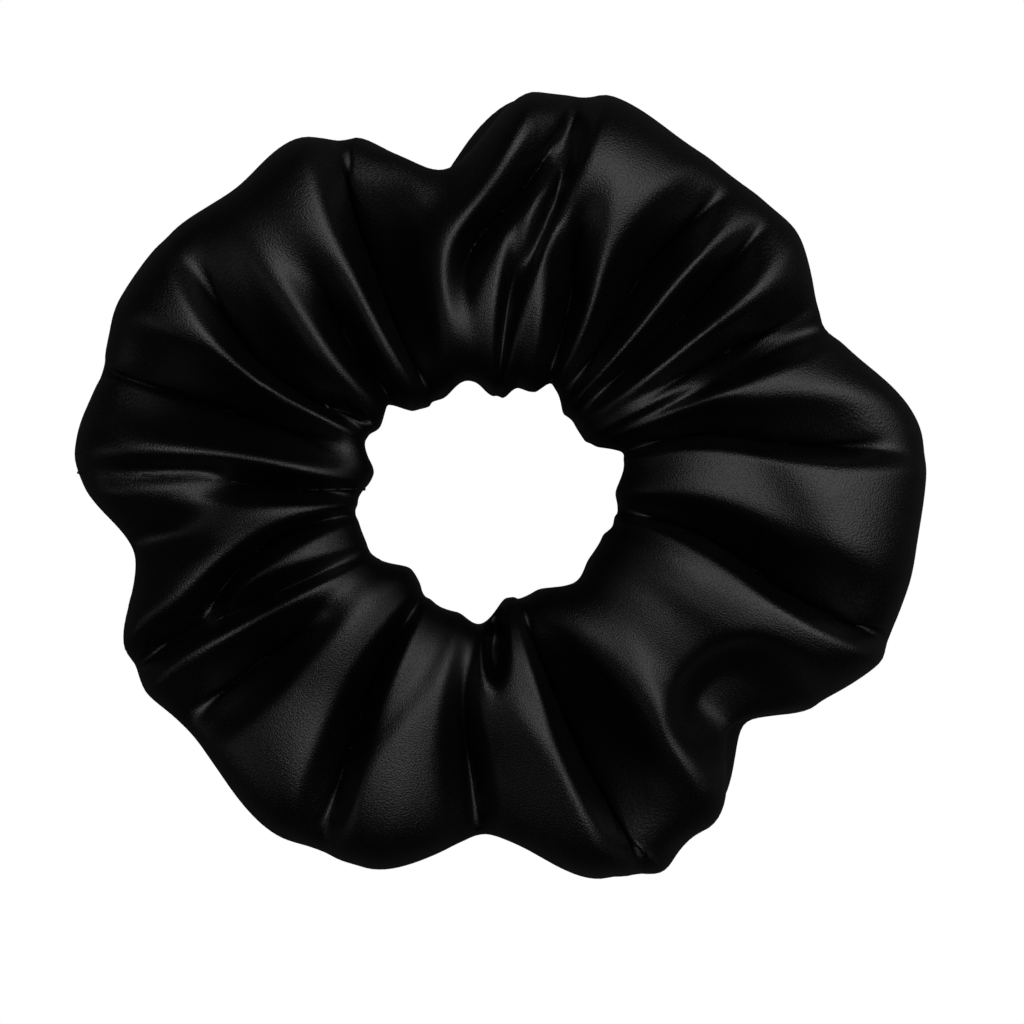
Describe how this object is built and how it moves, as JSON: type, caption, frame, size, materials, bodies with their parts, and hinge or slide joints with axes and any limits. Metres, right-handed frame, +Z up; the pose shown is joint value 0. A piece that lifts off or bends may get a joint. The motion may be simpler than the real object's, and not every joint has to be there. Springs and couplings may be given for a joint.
{
  "type": "scrunchie",
  "caption": "Gathered satin hair scrunchie: a wide folded fabric tube over a sewn elastic loop, which stretches open and springs back.",
  "frame": {"origin": "middle of the hair hole, on the surface that the scrunchie lies on", "axes": "+Z up along the ring's axis; +X the way the right half is pulled when the ring is stretched open, with the sewn closing seam at -X"},
  "size_m": [0.112, 0.112, 0.034],
  "materials": {
    "satin": "black polyester satin, soft sheen",
    "elastic": "braided black elastic, matt",
    "thread": "black spun polyester thread"
  },
  "bodies": {
    "left_half": {"cover_left": "satin", "elastic_left": "elastic", "elastic_join_needle_thread": "thread", "elastic_join_bobbin_thread": "thread", "long_seam_needle_thread_left": "thread", "long_seam_bobbin_thread_left": "thread", "closing_seam_needle_thread": "thread", "closing_seam_bobbin_thread": "thread"},
    "right_half": {"cover_right": "satin", "elastic_right": "elastic", "long_seam_needle_thread_right": "thread", "long_seam_bobbin_thread_right": "thread"}
  },
  "joints": [
    {"name": "stretch", "type": "slide", "parent": "left_half", "child": "right_half", "axis": [1, 0, 0], "range_m": [0, 0.095], "stiffness_N_per_m": 80}
  ]
}
